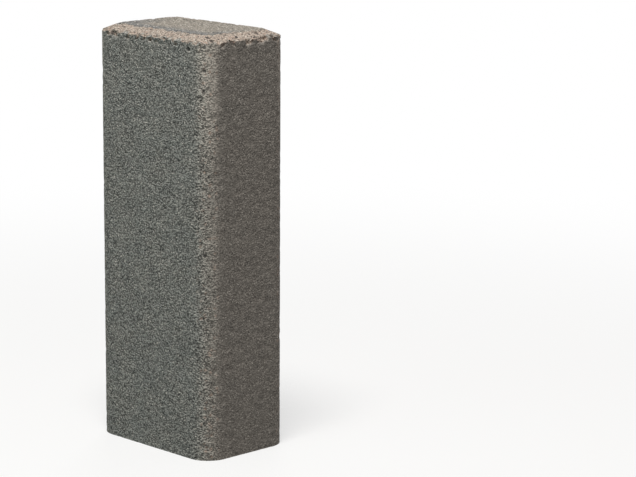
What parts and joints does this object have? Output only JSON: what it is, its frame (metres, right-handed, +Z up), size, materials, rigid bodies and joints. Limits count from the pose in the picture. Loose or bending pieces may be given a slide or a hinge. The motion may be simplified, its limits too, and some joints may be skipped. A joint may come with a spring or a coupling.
{
  "type": "palisade block",
  "caption": "Upright rectangular concrete palisade block with rounded upright corners, a sloped border round its head and a shallow dished top.",
  "frame": {"origin": "middle of the foot, the flat underside that the block stands on", "axes": "+Z up along the block's height, +X along the wide faces, +Y through the block's depth, so a wide face looks along -Y"},
  "size_m": [0.18, 0.12, 0.45],
  "materials": {
    "concrete": "dry pressed grey concrete, matt, open fine grain with small pits"
  },
  "bodies": {
    "root": {"palisade_block": "concrete"}
  },
  "joints": []
}
